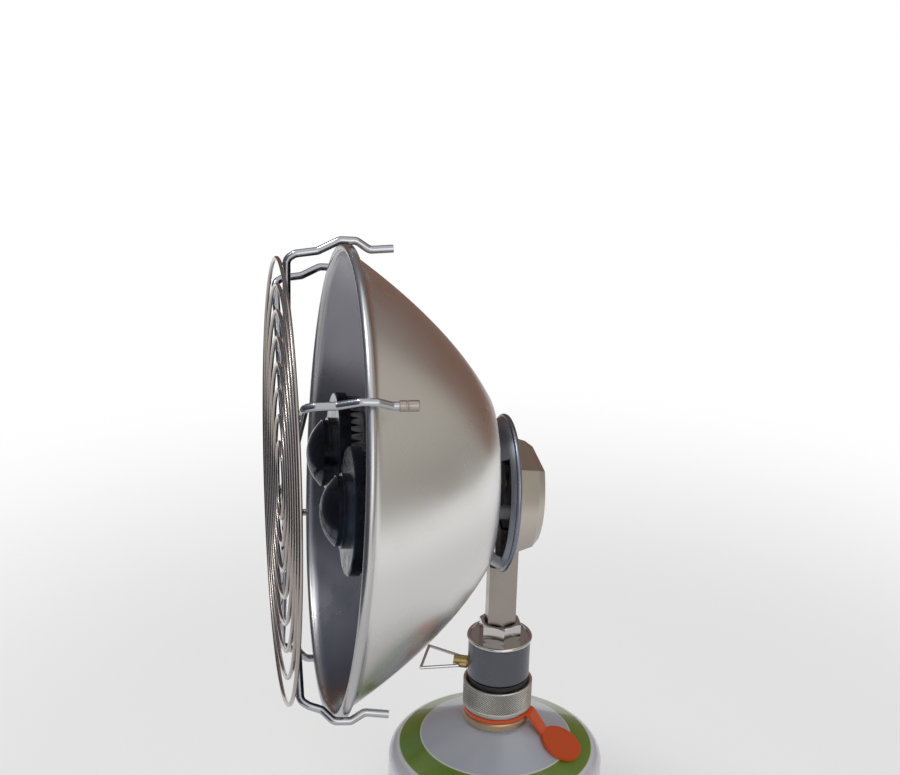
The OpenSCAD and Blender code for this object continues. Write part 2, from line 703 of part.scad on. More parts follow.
// Burner cap: a disc with a turned-back edge over the ports
module burner_cap(side) {
  color([0.2, 0.21, 0.24]) head_pose() translate([side * burner_x, 0, 0]) rotate_extrude()
    polygon([[screw_hole_r, cap_s], [burner_cap_r - 0.6, cap_s], [burner_cap_r, cap_s + 0.6],
      [burner_cap_r, cap_s + cap_l], [burner_cap_r - 1.2, cap_s + cap_l],
      [burner_cap_r - 1.2, cap_s + 2], [screw_hole_r, cap_s + 2]]);
}
module left_burner_cap() {
  burner_cap(-1);
}
module right_burner_cap() {
  burner_cap(1);
}

// Stepped collar between the cap and the dome
module burner_collar(side) {
  color([0.24, 0.26, 0.3]) head_pose() translate([side * burner_x, 0, 0]) rotate_extrude()
    polygon([[screw_hole_r, cap_s - 1.6], [dome_r - 1, cap_s - 1.6], [dome_r - 1, cap_s - 5.6],
      [dome_r + 0.3, cap_s - 5.6], [dome_r + 0.3, cap_s - 3], [dome_r + 1.5, cap_s - 3],
      [dome_r + 1.5, cap_s], [screw_hole_r, cap_s]]);
}
module left_burner_collar() {
  burner_collar(-1);
}
module right_burner_collar() {
  burner_collar(1);
}

// Pressed dome over the burner's screw
module burner_dome(side) {
  ball = (pow(dome_r, 2) + pow(dome_h, 2)) / (2 * dome_h);
  color([0.2, 0.2, 0.21]) head_pose() translate([side * burner_x, 0, cap_s - 5.6]) difference() {
    translate([0, 0, ball - dome_h]) sphere(r = ball);
    translate([0, 0, ball - dome_h]) sphere(r = ball - 1);
    translate([-50, -50, 0]) cube([100, 100, 100]);
  }
}
module left_burner_dome() {
  burner_dome(-1);
}
module right_burner_dome() {
  burner_dome(1);
}

// One screw for each burner, into the manifold's pillar
module burner_screws() {
  color([0.7, 0.7, 0.72]) head_pose()
    for (x = [-burner_x, burner_x]) translate([x, 0, cap_s - 1.6]) difference() {
      union() {
        translate([0, 0, -2.5]) cylinder(h = 2.5, r = 3.6);
        translate([0, 0, -0.5]) cylinder(h = cup_back + 6 - cap_s, r = screw_r);
      }
      translate([-4, -0.5, -3]) cube([8, 1, 1.6]);
    }
}

// Concentric wire rings of the guard
module guard_rings() {
  gap = (guard_r - guard_in_r) / (guard_count - 1);
  color([0.7, 0.66, 0.62]) head_pose() translate([0, 0, -guard_off]) rotate([guard_lean, 0, 0])
    for (i = [0 : guard_count - 1]) rotate_extrude()
      translate([guard_in_r + i * gap, 0]) circle(r = guard_wire_r, $fn = 24);
}

// Bent wire arms behind the rings, clipped over the reflector's edge
module guard_arms() {
  s0 = -guard_off + guard_wire_r + arm_wire_r + seat;
  crest = bowl_r + arm_wire_r + 0.5;
  bend = 4;
  color([0.68, 0.7, 0.74]) head_pose() for (a = [42, 98, 138, 214, 257, 317]) {
    lean = sin(a) * tan(guard_lean);
    turn_s = s0 + bend - (guard_r + 4) * lean;
    rotate([0, 0, -a]) rotate([90, 0, 0]) bent_wire([[guard_in_r - 2, s0 - (guard_in_r - 2) * lean],
      [guard_r + 1.5, s0 - (guard_r + 1.5) * lean], [guard_r + 4, turn_s],
      [bowl_r - 3, turn_s / 2 - 1.5], [crest, -3], [crest, bend + 0.5], [crest - bend, 11],
      [crest - 3, 22]], bend, arm_wire_r);
  }
}

can_shell();
can_base();
valve_cup();
threaded_boss();
cartridge_seal();
cartridge_pin();
cartridge_spring();
cap_strap();
connector_collar();
connector_seal();
pin_pusher();
neck_ring();
valve_body();
gland_packing();
gland_nut();
valve_spindle();
wire_handle();
top_plate();
stem_nut();
stem();
jet_block();
jet();
rear_housing();
cover_screw();
flange_ring();
flange_screws();
reflector();
mixing_tube();
manifold();
left_burner_cup();
right_burner_cup();
left_burner_cap();
right_burner_cap();
left_burner_collar();
right_burner_collar();
left_burner_dome();
right_burner_dome();
burner_screws();
guard_rings();
guard_arms();
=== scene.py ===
import bmesh
import bpy
import math
import numpy as np
from mathutils import Matrix, Vector


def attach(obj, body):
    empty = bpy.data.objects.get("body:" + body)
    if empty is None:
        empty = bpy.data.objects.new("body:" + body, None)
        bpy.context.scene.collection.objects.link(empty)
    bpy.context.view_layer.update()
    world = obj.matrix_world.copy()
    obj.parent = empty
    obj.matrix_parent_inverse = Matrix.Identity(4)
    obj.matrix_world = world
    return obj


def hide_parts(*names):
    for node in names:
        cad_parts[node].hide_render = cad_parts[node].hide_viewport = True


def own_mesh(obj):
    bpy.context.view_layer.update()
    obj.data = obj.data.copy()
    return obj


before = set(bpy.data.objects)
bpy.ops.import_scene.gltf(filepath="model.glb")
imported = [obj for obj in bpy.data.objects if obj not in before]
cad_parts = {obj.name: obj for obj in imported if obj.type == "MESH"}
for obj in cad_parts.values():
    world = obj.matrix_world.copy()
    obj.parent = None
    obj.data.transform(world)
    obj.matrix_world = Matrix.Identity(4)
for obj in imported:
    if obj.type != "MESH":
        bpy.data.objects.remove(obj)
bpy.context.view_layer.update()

# Camera: it stands beside the heater, a little in front of it and well above, and looks down. Its
# angles, lens and place are those that fit the photograph's view.
camera_turn = math.radians(79.92)
camera_raised = math.radians(22.86)
camera_tilted = math.radians(1.58)
camera_place = (0.7878, -0.1689, 0.602)
backward = Vector((math.sin(camera_turn) * math.cos(camera_raised),
                   -math.cos(camera_turn) * math.cos(camera_raised),
                   math.sin(camera_raised)))
sideways = Vector((math.cos(camera_turn), math.sin(camera_turn), 0.0))
upward = backward.cross(sideways)
frame_right = sideways * math.cos(camera_tilted) + upward * math.sin(camera_tilted)
frame_up = upward * math.cos(camera_tilted) - sideways * math.sin(camera_tilted)
camera_data = bpy.data.cameras.new("photo_camera")
camera_data.lens = 73.5
camera_data.sensor_width = 36.0
camera_data.clip_end = 20.0
camera = bpy.data.objects.new("photo_camera", camera_data)
camera.matrix_world = Matrix(((frame_right.x, frame_up.x, backward.x, camera_place[0]),
                              (frame_right.y, frame_up.y, backward.y, camera_place[1]),
                              (frame_right.z, frame_up.z, backward.z, camera_place[2]),
                              (0, 0, 0, 1)))
bpy.context.collection.objects.link(camera)
bpy.context.scene.camera = camera
bpy.context.scene.view_settings.view_transform = "Standard"

# Lamps: a large soft lamp high over the heater's front gives the light and the shadow, and a weak
# one beside the camera fills the side that it sees.


def studio_lamp(name, place, aim, size, power, colour):
    """A square area lamp at place, turned to shine at aim."""
    data = bpy.data.lights.new(name, "AREA")
    data.shape = "SQUARE"
    data.size = size
    data.energy = power
    data.color = colour
    lamp = bpy.data.objects.new(name, data)
    lamp.location = place
    lamp.rotation_euler = (Vector(aim) - Vector(place)).to_track_quat("-Z", "Y").to_euler()
    bpy.context.collection.objects.link(lamp)


studio_lamp("lamp_key", place=(-0.4, -1.6, 3.2), aim=(0, 0, 0.1), size=0.9, power=56,
            colour=(1.0, 0.985, 0.96))
studio_lamp("lamp_side", place=(1.6, 0.5, 1.0), aim=(0, -0.03, 0.15), size=1.2, power=5,
            colour=(1.0, 0.99, 0.98))

# Backdrop: the world is a dim plain grey for the light that it gives, and plain white where the
# camera, a shiny surface or a clear one looks at it.


def link(tree, source, output, target, socket):
    """Joins an output of the source node to a socket of the target node."""
    tree.links.new(source.outputs[output], target.inputs[socket])


def background_rays(tree):
    """1 for camera, glossy and transmission rays, which see the white background, and 0 for the rest."""
    rays = tree.nodes.new("ShaderNodeLightPath")
    seen_or_mirrored = tree.nodes.new("ShaderNodeMath")
    seen_or_mirrored.operation = "MAXIMUM"
    any_of_them = tree.nodes.new("ShaderNodeMath")
    any_of_them.operation = "MAXIMUM"
    link(tree, rays, "Is Camera Ray", seen_or_mirrored, 0)
    link(tree, rays, "Is Glossy Ray", seen_or_mirrored, 1)
    link(tree, seen_or_mirrored, "Value", any_of_them, 0)
    link(tree, rays, "Is Transmission Ray", any_of_them, 1)
    return any_of_them


world = bpy.data.worlds.new("studio")
bpy.context.scene.world = world
world.use_nodes = True
tree = world.node_tree
tree.nodes.clear()
light_given = tree.nodes.new("ShaderNodeBackground")
light_given.inputs["Color"].default_value = (0.72, 0.72, 0.74, 1)
light_given.inputs["Strength"].default_value = 0.5
white_seen = tree.nodes.new("ShaderNodeBackground")
white_seen.inputs["Color"].default_value = (1, 1, 1, 1)
white_seen.inputs["Strength"].default_value = 1.0
world_mix = tree.nodes.new("ShaderNodeMixShader")
world_out = tree.nodes.new("ShaderNodeOutputWorld")
link(tree, background_rays(tree), "Value", world_mix, 0)
link(tree, light_given, "Background", world_mix, 1)
link(tree, white_seen, "Background", world_mix, 2)
link(tree, world_mix, "Shader", world_out, "Surface")

# Floor: plain pale stock that takes the heater's shadow. Further from the heater, it passes evenly
# into the white of the backdrop.


def flat_sheet(name, corners):
    """A stage sheet with these four corners."""
    mesh = bpy.data.meshes.new(name)
    mesh.from_pydata(corners, [], [(0, 1, 2, 3)])
    sheet = bpy.data.objects.new(name, mesh)
    bpy.context.collection.objects.link(sheet)
    return sheet


floor_half = 6
fade_starts = 0.25
fade_ends = 0.65
white_at_heater = 0.3
floor = flat_sheet("floor", [(-floor_half, -floor_half, 0), (floor_half, -floor_half, 0),
                             (floor_half, floor_half, 0), (-floor_half, floor_half, 0)])
floor_pale = bpy.data.materials.new("floor_pale")
floor_pale.use_nodes = True
tree = floor_pale.node_tree
shader = tree.nodes["Principled BSDF"]
shader.inputs["Base Color"].default_value = (0.85, 0.85, 0.85, 1)
shader.inputs["Roughness"].default_value = 0.9
shader.inputs["Specular IOR Level"].default_value = 0.1
place = tree.nodes.new("ShaderNodeTexCoord")
distance = tree.nodes.new("ShaderNodeVectorMath")
distance.operation = "LENGTH"
fade = tree.nodes.new("ShaderNodeMapRange")
fade.interpolation_type = "SMOOTHSTEP"
fade.inputs["From Min"].default_value = fade_starts
fade.inputs["From Max"].default_value = fade_ends
white_share = tree.nodes.new("ShaderNodeMapRange")
white_share.inputs["To Min"].default_value = white_at_heater
white_for_ray = tree.nodes.new("ShaderNodeMath")
white_for_ray.operation = "MULTIPLY"
white = tree.nodes.new("ShaderNodeEmission")
white.inputs["Color"].default_value = (1, 1, 1, 1)
white.inputs["Strength"].default_value = 1.0
floor_mix = tree.nodes.new("ShaderNodeMixShader")
link(tree, place, "Object", distance, 0)
link(tree, distance, "Value", fade, "Value")
link(tree, fade, "Result", white_share, "Value")
link(tree, white_share, "Result", white_for_ray, 0)
link(tree, background_rays(tree), "Value", white_for_ray, 1)
link(tree, white_for_ray, "Value", floor_mix, 0)
link(tree, shader, "BSDF", floor_mix, 1)
link(tree, white, "Emission", floor_mix, 2)
link(tree, floor_mix, "Shader", tree.nodes["Material Output"], "Surface")
floor.data.materials.append(floor_pale)

# Cards: three plain upright sheets round the heater, which show only in its shiny surfaces. The dark
# one stands in front, the warm grey one behind, and the brown one on the side away from the camera.


def studio_card(name, corners, low, high, start, stop):
    """A card whose tone runs from low to high between the heights start and stop."""
    card = flat_sheet(name, corners)
    card.visible_camera = False
    card.visible_diffuse = False
    card.visible_shadow = False
    card.visible_transmission = False
    finish = bpy.data.materials.new(name)
    finish.use_nodes = True
    tree = finish.node_tree
    tree.nodes.clear()
    place = tree.nodes.new("ShaderNodeTexCoord")
    height = tree.nodes.new("ShaderNodeSeparateXYZ")
    climb = tree.nodes.new("ShaderNodeMapRange")
    climb.interpolation_type = "SMOOTHSTEP"
    climb.inputs["From Min"].default_value = start
    climb.inputs["From Max"].default_value = stop
    tone = tree.nodes.new("ShaderNodeMix")
    tone.data_type = "RGBA"
    tone.inputs["A"].default_value = (*low, 1)
    tone.inputs["B"].default_value = (*high, 1)
    glow = tree.nodes.new("ShaderNodeEmission")
    card_out = tree.nodes.new("ShaderNodeOutputMaterial")
    link(tree, place, "Object", height, "Vector")
    link(tree, height, "Z", climb, "Value")
    link(tree, climb, "Result", tone, "Factor")
    link(tree, tone, "Result", glow, "Color")
    link(tree, glow, "Emission", card_out, "Surface")
    card.data.materials.append(finish)


studio_card("card_front", [(-1.2, -0.42, 0.002), (1.0, -0.42, 0.002), (1.0, -0.6, 1.4), (-1.2, -0.6, 1.4)],
            low=(0.09, 0.095, 0.11), high=(0.24, 0.28, 0.36), start=0.25, stop=0.8)
studio_card("card_back", [(3, 1.15, 0.002), (-0.6, 1.15, 0.002), (-0.6, 1.15, 2.0), (3, 1.15, 2.0)],
            low=(0.36, 0.345, 0.31), high=(0.52, 0.49, 0.44), start=0.12, stop=0.6)
studio_card("card_brown", [(-0.6, 1.15, 0.002), (-1.6, -0.9, 0.002), (-1.6, -0.9, 2.0), (-0.6, 1.15, 2.0)],
            low=(0.2, 0.11, 0.08), high=(0.24, 0.2, 0.19), start=0.3, stop=0.9)

# Cartridge's can and base: the can is drawn steel with a rounded shoulder and a dished top, painted
# white, with a green band printed round the top. The concave base is seamed to it and left bare.


def uneven_group():
    """Node group: soft noise on Object coordinates, stretched to run from Low to High."""
    group = bpy.data.node_groups.new("uneven", "ShaderNodeTree")
    for socket in ("Scale", "Low", "High"):
        group.interface.new_socket(name=socket, in_out="INPUT", socket_type="NodeSocketFloat")
    group.interface.new_socket(name="Value", in_out="OUTPUT", socket_type="NodeSocketFloat")
    inside = group.nodes.new("NodeGroupInput")
    outside = group.nodes.new("NodeGroupOutput")
    place = group.nodes.new("ShaderNodeTexCoord")
    noise = group.nodes.new("ShaderNodeTexNoise")
    noise.inputs["Detail"].default_value = 4
    spread = group.nodes.new("ShaderNodeMapRange")
    spread.inputs["From Min"].default_value = 0.3
    spread.inputs["From Max"].default_value = 0.7
    link(group, place, "Object", noise, "Vector")
    link(group, inside, "Scale", noise, "Scale")
    link(group, noise, "Fac", spread, "Value")
    link(group, inside, "Low", spread, "To Min")
    link(group, inside, "High", spread, "To Max")
    link(group, spread, "Result", outside, "Value")
    return group


uneven = uneven_group()


def add_uneven(tree, scale, low, high):
    """Places the uneven group with its own values and returns the node."""
    node = tree.nodes.new("ShaderNodeGroup")
    node.node_tree = uneven
    node.inputs["Scale"].default_value = scale
    node.inputs["Low"].default_value = low
    node.inputs["High"].default_value = high
    return node


def add_bump(tree, shader, source, output, strength):
    """Presses the source's pattern a tenth of a millimetre into the surface, at this strength."""
    bump = tree.nodes.new("ShaderNodeBump")
    bump.inputs["Strength"].default_value = strength
    bump.inputs["Distance"].default_value = 0.0001
    link(tree, source, output, bump, "Height")
    link(tree, bump, "Normal", shader, "Normal")


def new_finish(name, colour, metallic, coat=0.0):
    """A material with these plain values. Returns it with its tree and its Principled shader."""
    material = bpy.data.materials.new(name)
    material.use_nodes = True
    shader = material.node_tree.nodes["Principled BSDF"]
    shader.inputs["Base Color"].default_value = (*colour, 1)
    shader.inputs["Metallic"].default_value = metallic
    shader.inputs["Coat Weight"].default_value = coat
    return material, material.node_tree, shader


def wear(tree, shader, scale, smooth, rough):
    """Roughness that wanders softly between smooth and rough, with this scale of noise."""
    shader.inputs["Roughness"].default_value = (smooth + rough) / 2
    link(tree, add_uneven(tree, scale, smooth, rough), "Value", shader, "Roughness")


def worn_finish(name, colour, metallic, scale, smooth, rough):
    """A material of one colour whose roughness wanders between smooth and rough."""
    material, tree, shader = new_finish(name, colour, metallic)
    wear(tree, shader, scale, smooth, rough)
    return material


def paint(material, *names):
    """Puts a material in every slot of these CAD nodes."""
    for name in names:
        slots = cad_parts[name].data.materials
        if len(slots) == 0:
            slots.append(material)
        for i in range(len(slots)):
            slots[i] = material


def radius_from_axis(tree):
    """Distance of a point from the upright axis, from Object coordinates."""
    place = tree.nodes.new("ShaderNodeTexCoord")
    flattened = tree.nodes.new("ShaderNodeVectorMath")
    flattened.operation = "MULTIPLY"
    flattened.inputs[1].default_value = (1, 1, 0)
    radius = tree.nodes.new("ShaderNodeVectorMath")
    radius.operation = "LENGTH"
    link(tree, place, "Object", flattened, 0)
    link(tree, flattened, "Vector", radius, 0)
    return radius


can_paint, tree, shader = new_finish("can_paint", (0.8, 0.8, 0.83), metallic=0.0, coat=0.3)
rings_reach = 0.06
centre_colour = (0.6, 0.62, 0.66, 1)
side_colour = (0.74, 0.73, 0.8, 1)
# Each ring of the print: its radius as a share of rings_reach, and its colour.
printed_rings = (
    (0.636, (0.52, 0.55, 0.62, 1)),
    (0.641, (0.8, 0.82, 0.72, 1)),
    (0.647, (0.8, 0.82, 0.72, 1)),
    (0.652, (0.15, 0.26, 0.025, 1)),
    (0.822, (0.18, 0.3, 0.035, 1)),
    (0.828, (0.85, 0.86, 0.8, 1)),
    (0.846, (0.85, 0.86, 0.82, 1)),
    (0.86, (0.72, 0.71, 0.78, 1)),
)
ring_share = tree.nodes.new("ShaderNodeMapRange")
ring_share.inputs["From Max"].default_value = rings_reach
print_colour = tree.nodes.new("ShaderNodeValToRGB")
stops = print_colour.color_ramp.elements
stops[0].color = centre_colour
stops[1].color = side_colour
for share, colour in printed_rings:
    stops.new(share).color = colour
link(tree, radius_from_axis(tree), "Value", ring_share, "Value")
link(tree, ring_share, "Result", print_colour, "Fac")
link(tree, print_colour, "Color", shader, "Base Color")
wear(tree, shader, 40, 0.18, 0.28)
paint(can_paint, "can_shell")

bare_steel = worn_finish("bare_steel", (0.62, 0.62, 0.64), 1.0, 120, 0.25, 0.45)
paint(bare_steel, "can_base", "threaded_boss")

# Cartridge's valve: a brass pin stands in the threaded boss on a coil of round steel wire and closes
# against a rubber seal. Pressing the pin shortens the coil by the whole of its travel.


def grid_mesh(name, points, closed_along):
    """A quad mesh over a grid of points of shape (rows, columns, 3). Each quad joins four neighbours.
    The last column joins the first, and so does the last row where closed_along is set."""
    rows, columns = points.shape[:2]
    first_rows = np.arange(rows if closed_along else rows - 1)
    row, column = np.meshgrid(first_rows, np.arange(columns), indexing="ij")
    next_row = (row + 1) % rows
    next_column = (column + 1) % columns
    quads = np.stack([row * columns + column, next_row * columns + column,
                      next_row * columns + next_column, row * columns + next_column], axis=-1).reshape(-1, 4)
    mesh = bpy.data.meshes.new(name)
    mesh.vertices.add(rows * columns)
    mesh.vertices.foreach_set("co", points.reshape(-1).astype(np.float32))
    mesh.loops.add(quads.size)
    mesh.loops.foreach_set("vertex_index", quads.reshape(-1).astype(np.int32))
    mesh.polygons.add(len(quads))
    mesh.polygons.foreach_set("loop_start", np.arange(0, quads.size, 4, dtype=np.int32))
    mesh.polygons.foreach_set("use_smooth", np.ones(len(quads), dtype=bool))
    mesh.update(calc_edges=True)
    mesh.validate()
    return mesh


def new_piece(mesh, material, body, sharp):
    """Puts a mesh in the scene as a piece that rides on a body. Edges over the sharp angle stay crisp."""
    piece = bpy.data.objects.new(mesh.name, mesh)
    bpy.context.collection.objects.link(piece)
    mesh.materials.append(material)
    mesh.set_sharp_from_angle(angle=math.radians(sharp))
    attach(piece, body)
    return piece


def coil_points(mean, wire, low, high, coils, steps, sides):
    """Points of a coil: the wire's centre climbs evenly round a circle, x = m cos a, y = m sin a, and each
    ring of the wire is m + w cos b outwards and w sin b upwards."""
    a = np.linspace(0, 2 * math.pi * coils, steps)[:, None]
    b = np.linspace(0, 2 * math.pi, sides, endpoint=False)[None, :]
    reach = mean + wire * np.cos(b) + 0 * a
    climb = low + wire + (high - low - 2 * wire) * a / a[-1]
    return np.stack([reach * np.cos(a), reach * np.sin(a), climb + wire * np.sin(b)], axis=-1)


black_rubber = worn_finish("black_rubber", (0.018, 0.018, 0.02), 0.0, 300, 0.5, 0.7)
brass = worn_finish("brass", (0.55, 0.4, 0.17), 1.0, 150, 0.22, 0.42)
paint(black_rubber, "cartridge_seal")
paint(brass, "cartridge_pin")

coil_low = 0.0672
coil_high = 0.0774
coil_mesh = grid_mesh("coil", coil_points(mean=0.0028, wire=0.00038, low=coil_low, high=coil_high,
                                          coils=6.5, steps=240, sides=14), closed_along=False)
cut_ends = bmesh.new()
cut_ends.from_mesh(coil_mesh)
bmesh.ops.holes_fill(cut_ends, edges=[edge for edge in cut_ends.edges if edge.is_boundary])
cut_ends.to_mesh(coil_mesh)
cut_ends.free()
coil = new_piece(coil_mesh, bare_steel, "cartridge", sharp=50)
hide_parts("cartridge_spring")
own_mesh(coil)

# Valve cup and cap strap: the cup is lacquered bronze and rolled over the can's edge. The strap is
# one moulding of orange plastic: a ring that turns on the cup, a strap, and a round cap.
cup_bronze = worn_finish("cup_bronze", (0.44, 0.31, 0.2), 0.9, 90, 0.25, 0.42)
paint(cup_bronze, "valve_cup")

strap_orange, tree, shader = new_finish("strap_orange", (0.75, 0.09, 0.008), metallic=0.0)
add_bump(tree, shader, add_uneven(tree, 900, 0.0, 1.0), "Value", strength=0.25)
wear(tree, shader, 60, 0.3, 0.46)
paint(strap_orange, "cap_strap")

# Knurled collar: turned aluminium with a fine diamond knurl, a smooth groove near its lower edge
# and chamfered ends. It screws on the boss, and holds the rubber seal and the pin that opens the valve.


def spun(profile, turns):
    """Points of a closed profile (radius, height) turned about the upright axis: x = r cos a,
    y = r sin a, z = h."""
    a = np.linspace(0, 2 * math.pi, turns, endpoint=False)[:, None]
    r = profile[None, :, 0]
    h = profile[None, :, 1]
    return np.stack([r * np.cos(a), r * np.sin(a), h + 0 * a], axis=-1)


def knurl_groove(angle, height, cuts, rise):
    """How deep the knurl is cut, from 0 to 1. Two sets of slanted cuts cross. Each is a saw wave, from
    0 to a half, of the angle's share of a turn times cuts, plus or minus height over rise. The depth
    runs from 0 to 1 as the larger wave goes from where the flanks start to where they end."""
    flank_starts = 0.21875
    flank_ends = 0.46875
    share = angle / (2 * math.pi)
    leaning_left = np.abs((share * cuts + height / rise) % 1 - 0.5)
    leaning_right = np.abs((share * cuts - height / rise) % 1 - 0.5)
    wave = np.maximum(leaning_left, leaning_right)
    return np.clip((wave - flank_starts) / (flank_ends - flank_starts), 0, 1)


def tone_by_attribute(tree, shader, attribute, low, high):
    """Base Color runs from low to high as the mesh attribute runs from 0 to 1."""
    read = tree.nodes.new("ShaderNodeAttribute")
    read.attribute_name = attribute
    tone = tree.nodes.new("ShaderNodeMix")
    tone.data_type = "RGBA"
    tone.inputs["A"].default_value = (*low, 1)
    tone.inputs["B"].default_value = (*high, 1)
    link(tree, read, "Fac", tone, "Factor")
    link(tree, tone, "Result", shader, "Base Color")


def keep_attribute(mesh, name, values):
    """Keeps one number a point in the mesh, for its material to read."""
    kept = mesh.attributes.new(name, "FLOAT", "POINT")
    kept.data.foreach_set("value", values.reshape(-1).astype(np.float32))


collar_metal = (0.62, 0.6, 0.56)
# Painted shade in the knurl: the metal's colour darkens to this towards the bottom of each groove.
groove_shade_colour = (0.1, 0.095, 0.085)
aluminium, tree, shader = new_finish("turned_aluminium", collar_metal, metallic=1.0)
tone_by_attribute(tree, shader, "groove", collar_metal, groove_shade_colour)
wear(tree, shader, 200, 0.26, 0.42)
collar_turns = 720
collar_radius = 0.0175
knurl_low = 0.0914
knurl_high = 0.103
knurl_depth = 0.00034
knurl_edge = 0.0001
knurl_heights = np.concatenate([[knurl_low], np.linspace(knurl_low + knurl_edge, knurl_high - knurl_edge, 76),
                                [knurl_high]])
# The bore, the skirt inside the cup, the lower chamfer and the smooth groove.
below_knurl = np.array([(0.00562, 0.083), (0.0122, 0.083), (0.0122, 0.0885), (0.017, 0.0885), (0.0175, 0.089),
                        (0.0175, 0.0903), (0.0171, 0.0905), (0.0171, 0.0911), (0.0175, 0.0913)])
along_knurl = np.stack([np.full(len(knurl_heights), collar_radius), knurl_heights], axis=-1)
# The upper chamfer, the sunk top, and the bore for the body's spigot.
above_knurl = np.array([(0.017, 0.1035), (0.0162, 0.1035), (0.0158, 0.1031), (0.0091, 0.1031),
                        (0.0091, 0.0925), (0.00562, 0.0925)])
collar_profile = np.concatenate([below_knurl, along_knurl, above_knurl])
radius = collar_profile[None, :, 0]
height = collar_profile[None, :, 1]
angle = np.linspace(0, 2 * math.pi, collar_turns, endpoint=False)[:, None]
on_knurl = (height > knurl_low) & (height < knurl_high) & (radius > collar_radius - knurl_edge)
groove = knurl_groove(angle, height, cuts=90, rise=0.00122) * on_knurl
collar_points = spun(collar_profile, collar_turns)
collar_points[..., :2] *= (1 - groove * knurl_depth / collar_radius)[..., None]
collar_mesh = grid_mesh("knurled_collar", collar_points, closed_along=True)
keep_attribute(collar_mesh, "groove", groove)
collar = new_piece(collar_mesh, aluminium, "heater", sharp=50)
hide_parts("connector_collar")
paint(black_rubber, "connector_seal")
paint(brass, "pin_pusher")

# Valve body: a dark blue-grey painted zinc casting, round, standing on the collar with a black ring
# between them.
body_paint = worn_finish("body_paint", (0.1, 0.108, 0.128), 0.5, 70, 0.24, 0.36)
paint(body_paint, "valve_body")
paint(black_rubber, "neck_ring")

# Top plate, nut and stem: the chromed plate lies on the body, held by the chromed nut. The hexagonal
# stem, satin nickel, rises out of the nut.
chrome = worn_finish("chrome", (0.55, 0.53, 0.52), 1.0, 60, 0.07, 0.16)
paint(chrome, "top_plate", "stem_nut")
stem_nickel = worn_finish("stem_nickel", (0.34, 0.3, 0.27), 1.0, 90, 0.2, 0.36)
paint(stem_nickel, "stem")

# Spindle and handle: the brass needle spindle leaves the body through its packing and gland nut. A
# bent steel wire is hooked into its end from both sides and serves as the handle.
paint(black_rubber, "gland_packing")
paint(brass, "valve_spindle", "gland_nut")
handle_steel = worn_finish("handle_steel", (0.6, 0.6, 0.61), 1.0, 150, 0.14, 0.28)
paint(handle_steel, "wire_handle")

# Jet block, mixing tube and manifold: rough grey castings. The block on the stem holds the brass jet,
# which blows into the tube's bell mouth, and the manifold behind the burners feeds them both.
casting = worn_finish("casting_grey", (0.2, 0.2, 0.21), 0.6, 400, 0.5, 0.75)
paint(casting, "jet_block", "manifold", "mixing_tube")
paint(brass, "jet")

# Back ring: pressed steel, blued dark, with a rolled edge and air slots, screwed on behind the bowl
# with bright screws.
ring_blued = worn_finish("ring_blued", (0.2, 0.215, 0.26), 1.0, 60, 0.22, 0.4)
paint(ring_blued, "flange_ring")
paint(handle_steel, "flange_screws")

# Housing: a pressed cover of brushed steel with a flat top and bowed sides, held on the jet block by
# one screw. The brushing runs up and down.
streak_stretch = (1200, 1200, 25)
brushed, tree, shader = new_finish("brushed_housing", (0.5, 0.455, 0.41), metallic=1.0)
place = tree.nodes.new("ShaderNodeTexCoord")
stretch = tree.nodes.new("ShaderNodeMapping")
stretch.inputs["Scale"].default_value = streak_stretch
streaks = tree.nodes.new("ShaderNodeTexNoise")
streaks.inputs["Scale"].default_value = 1.0
streaks.inputs["Detail"].default_value = 3
streak_rough = tree.nodes.new("ShaderNodeMapRange")
streak_rough.inputs["To Min"].default_value = 0.26
streak_rough.inputs["To Max"].default_value = 0.5
link(tree, place, "Object", stretch, "Vector")
link(tree, stretch, "Vector", streaks, "Vector")
link(tree, streaks, "Fac", streak_rough, "Value")
link(tree, streak_rough, "Result", shader, "Roughness")
add_bump(tree, shader, streaks, "Fac", strength=0.12)
paint(brushed, "rear_housing")
paint(handle_steel, "cover_screw")

# Reflector: a spun aluminium parabola with a flat back and a rolled edge, satin from the spinning
# lathe, with painted shade darkening its inner face fully and its rolled edge by half. It is clamped
# between the mixing tube's flange and the back ring.
head_centre = np.array([0.0, -0.0844, 0.2187])
head_tilt = math.radians(4)
head_side = np.array([1.0, 0.0, 0.0])
head_down = np.array([0.0, -math.sin(head_tilt), -math.cos(head_tilt)])
head_back = np.array([0.0, math.cos(head_tilt), -math.sin(head_tilt)])


def to_head(points):
    """Head coordinates to the shared frame: x goes sideways, y down in the rim's plane, and z back along
    the bowl's axis."""
    x = points[..., 0:1]
    y = points[..., 1:2]
    z = points[..., 2:3]
    return head_centre + x * head_side + y * head_down + z * head_back


